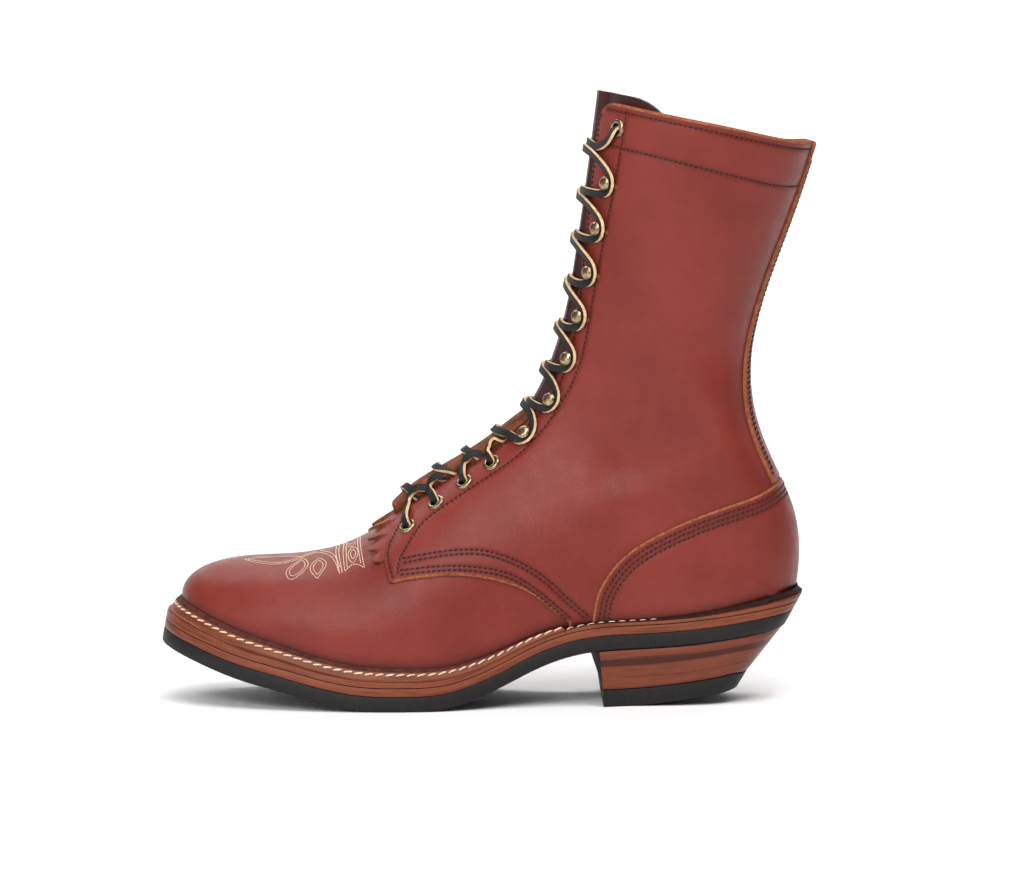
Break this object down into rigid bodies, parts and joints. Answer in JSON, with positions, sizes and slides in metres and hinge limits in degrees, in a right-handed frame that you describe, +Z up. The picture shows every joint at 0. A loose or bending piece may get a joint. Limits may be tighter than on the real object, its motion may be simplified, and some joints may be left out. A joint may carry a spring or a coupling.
{
  "type": "packer boot",
  "caption": "Laced leather packer boot for the left foot: round toe, tall shaft open at the collar, welted sole with toe spring, undershot stacked heel.",
  "frame": {"origin": "middle of the bounding box in plan, on the floor plane that heel and forefoot stand on", "axes": "-X towards the toe, +X towards the heel, -Y the outer side of the left foot, +Z up the shaft"},
  "size_m": [0.3145, 0.1078, 0.2936],
  "materials": {
    "black_rubber": "matt",
    "brass": "antiqued, satin",
    "insole_leather": "matt",
    "lace_leather": "dull, cut edges pale",
    "oiled_leather": "oiled, soft sheen",
    "sole_leather": "burnished edge",
    "tongue_leather": "dull, rough"
  },
  "bodies": {
    "root": {"backstay": "oiled_leather", "counter": "oiled_leather", "eyelet_lateral_1": "brass", "eyelet_lateral_2": "brass", "eyelet_lateral_3": "brass", "eyelet_lateral_4": "brass", "eyelet_lateral_5": "brass", "eyelet_medial_1": "brass", "eyelet_medial_2": "brass", "eyelet_medial_3": "brass", "eyelet_medial_4": "brass", "eyelet_medial_5": "brass", "heel_rand": "sole_leather", "heel_stack": "sole_leather", "hook_lateral_1": "brass", "hook_lateral_2": "brass", "hook_lateral_3": "brass", "hook_lateral_4": "brass", "hook_lateral_5": "brass", "hook_lateral_6": "brass", "hook_lateral_7": "brass", "hook_medial_1": "brass", "hook_medial_2": "brass", "hook_medial_3": "brass", "hook_medial_4": "brass", "hook_medial_5": "brass", "hook_medial_6": "brass", "hook_medial_7": "brass", "insole": "insole_leather", "kiltie": "tongue_leather", "lace_crossing_1": "lace_leather", "lace_crossing_10": "lace_leather", "lace_crossing_11": "lace_leather", "lace_crossing_2": "lace_leather", "lace_crossing_3": "lace_leather", "lace_crossing_4": "lace_leather", "lace_crossing_5": "lace_leather", "lace_crossing_6": "lace_leather", "lace_crossing_7": "lace_leather", "lace_crossing_8": "lace_leather", "lace_crossing_9": "lace_leather", "midsole": "sole_leather", "outsole": "black_rubber", "quarter_lateral": "oiled_leather", "quarter_medial": "oiled_leather", "tongue": "tongue_leather", "top_lift": "black_rubber", "upper": "oiled_leather", "welt": "sole_leather"}
  },
  "joints": []
}
